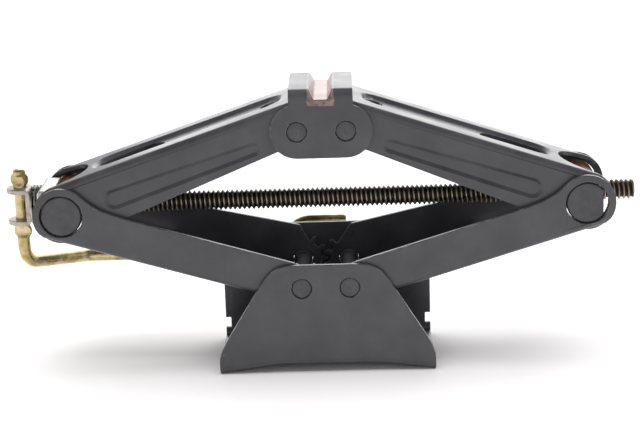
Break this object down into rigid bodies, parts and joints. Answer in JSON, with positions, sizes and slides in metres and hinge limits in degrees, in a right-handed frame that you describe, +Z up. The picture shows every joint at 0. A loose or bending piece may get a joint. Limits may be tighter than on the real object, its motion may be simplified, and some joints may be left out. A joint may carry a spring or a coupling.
{
  "type": "car jack",
  "caption": "Scissor jack in pressed steel with a lead screw, meshing arms, a notched saddle and a folding crank.",
  "frame": {"origin": "centre of the raised middle of the base sole's underside, 4.8 mm above the floor on which the sole's two ends stand", "axes": "+X along the lead screw, away from the crank; +Y to the side on which the folded crank lies; +Z up, the lifting direction"},
  "size_m": [0.3965, 0.0883, 0.1801],
  "materials": {
    "black_paint": "semi-gloss black dip paint on pressed steel",
    "dark_steel": "turned steel, oiled and darkened",
    "bright_zinc": "bright zinc plate",
    "grey_zinc": "dull zinc plate",
    "yellow_zinc": "yellow chromated zinc plate"
  },
  "bodies": {
    "base": {"base_bracket": "black_paint", "base_pin_left": "black_paint", "base_pin_right": "black_paint"},
    "lower_left": {"lower_arm_left": "black_paint"},
    "lower_right": {"lower_arm_right": "black_paint"},
    "upper_left": {"upper_arm_left": "black_paint"},
    "upper_right": {"upper_arm_right": "black_paint"},
    "head": {"head_bracket": "black_paint", "head_pin_left": "black_paint", "head_pin_right": "black_paint"},
    "bearing": {"bearing_trunnion": "dark_steel", "thrust_block": "bright_zinc", "thrust_race_inner": "grey_zinc", "thrust_ball_cage": "grey_zinc", "thrust_ball_1": "bright_zinc", "thrust_ball_2": "bright_zinc", "thrust_ball_3": "bright_zinc", "thrust_ball_4": "bright_zinc", "thrust_ball_5": "bright_zinc", "thrust_ball_6": "bright_zinc", "thrust_ball_7": "bright_zinc", "thrust_ball_8": "bright_zinc", "thrust_ball_9": "bright_zinc", "thrust_ball_10": "bright_zinc", "thrust_ball_11": "bright_zinc", "thrust_ball_12": "bright_zinc"},
    "nut": {"nut_trunnion": "dark_steel"},
    "screw": {"lead_screw": "dark_steel", "screw_collar": "dark_steel", "thrust_race_outer": "grey_zinc", "crank_yoke": "grey_zinc"},
    "crank": {"crank_rod": "yellow_zinc"}
  },
  "joints": [
    {"name": "jack_raise", "type": "hinge", "parent": "base", "child": "lower_left", "pos_m": [-0.015, 0, 0.0507], "axis": [0, 1, 0], "range_deg": [-10.5, 41.5]},
    {"name": "lower_right_hinge", "type": "hinge", "parent": "base", "child": "lower_right", "pos_m": [0.015, 0, 0.0507], "axis": [0, 1, 0], "range_deg": [-41.5, 10.5]},
    {"name": "upper_left_hinge", "type": "hinge", "parent": "lower_left", "child": "upper_left", "pos_m": [-0.16246, 0, 0.10004], "axis": [0, 1, 0], "range_deg": [-83, 21]},
    {"name": "upper_right_hinge", "type": "hinge", "parent": "lower_right", "child": "upper_right", "pos_m": [0.16246, 0, 0.10004], "axis": [0, 1, 0], "range_deg": [-21, 83]},
    {"name": "head_level", "type": "hinge", "parent": "upper_left", "child": "head", "pos_m": [-0.015, 0, 0.14938], "axis": [0, 1, 0], "range_deg": [-10.5, 41.5]},
    {"name": "bearing_level", "type": "hinge", "parent": "lower_left", "child": "bearing", "pos_m": [-0.16246, 0, 0.10004], "axis": [0, 1, 0], "range_deg": [-41.5, 10.5]},
    {"name": "nut_level", "type": "hinge", "parent": "lower_right", "child": "nut", "pos_m": [0.16246, 0, 0.10004], "axis": [0, 1, 0], "range_deg": [-10.5, 41.5]},
    {"name": "screw_turn", "type": "hinge", "parent": "bearing", "child": "screw", "pos_m": [-0.16246, 0, 0.10004], "axis": [1, 0, 0], "range_deg": [0, 60]},
    {"name": "crank_swing", "type": "hinge", "parent": "screw", "child": "crank", "pos_m": [-0.19226, 0, 0.10004], "axis": [0, 0, 1], "range_deg": [0, 180]}
  ],
  "couplings": [
    {"joint": "lower_right_hinge", "follows": "jack_raise", "ratio": -1},
    {"joint": "upper_left_hinge", "follows": "jack_raise", "ratio": -2},
    {"joint": "upper_right_hinge", "follows": "jack_raise", "ratio": 2},
    {"joint": "head_level", "follows": "jack_raise", "ratio": 1},
    {"joint": "bearing_level", "follows": "jack_raise", "ratio": -1},
    {"joint": "nut_level", "follows": "jack_raise", "ratio": 1}
  ]
}
